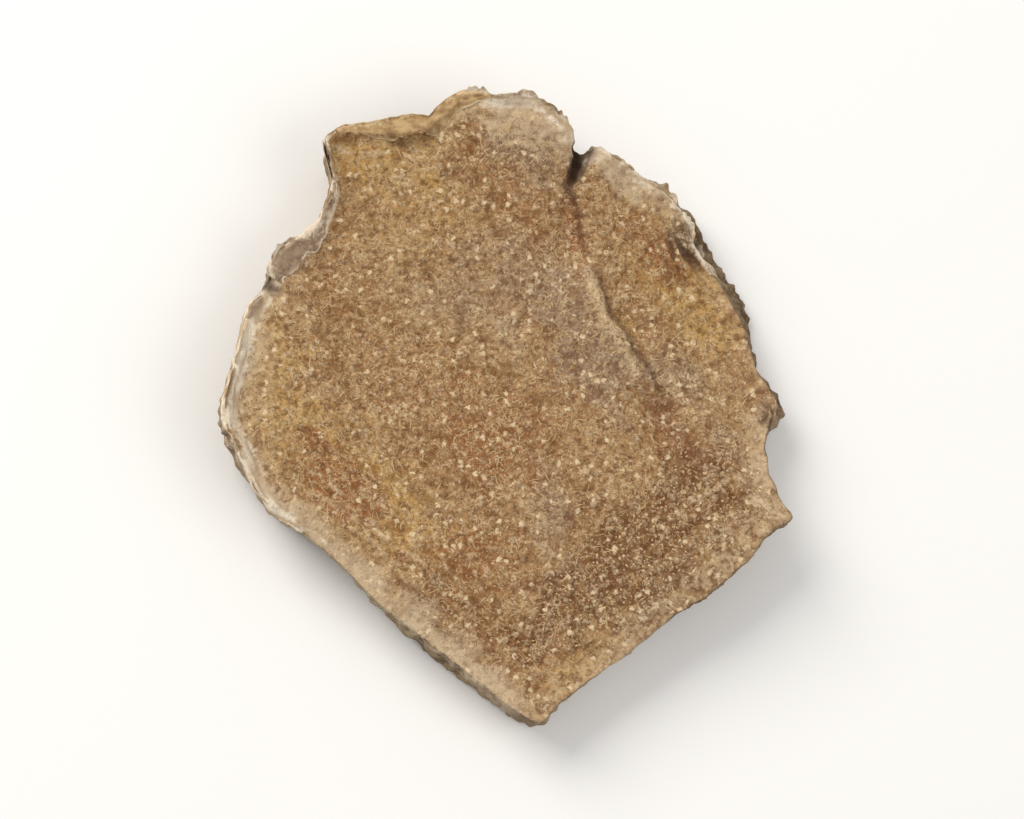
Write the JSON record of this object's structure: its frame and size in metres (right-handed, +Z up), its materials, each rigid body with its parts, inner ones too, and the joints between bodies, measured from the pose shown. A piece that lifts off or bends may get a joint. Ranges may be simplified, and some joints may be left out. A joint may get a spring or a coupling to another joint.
{
  "type": "dried zedoary root slice",
  "caption": "Thin cross-cut slice of dried zedoary rhizome with a papery skin rim, folded lip, edge crack and crease, lying on its lower cut face.",
  "frame": {"origin": "On the surface the slice rests on, under the middle of its bounding box", "axes": "+Z up out of the upper cut face, the shortest extent; +Y from the pointed end to the frayed top edge, the longest extent; +X to the right of those, towards the bud scar"},
  "size_m": [0.0344, 0.038, 0.0052],
  "materials": {
    "dried_root": "dry and matt, grainy cut faces and papery skin"
  },
  "bodies": {
    "root": {"zedoary_slice": "dried_root"}
  },
  "joints": []
}
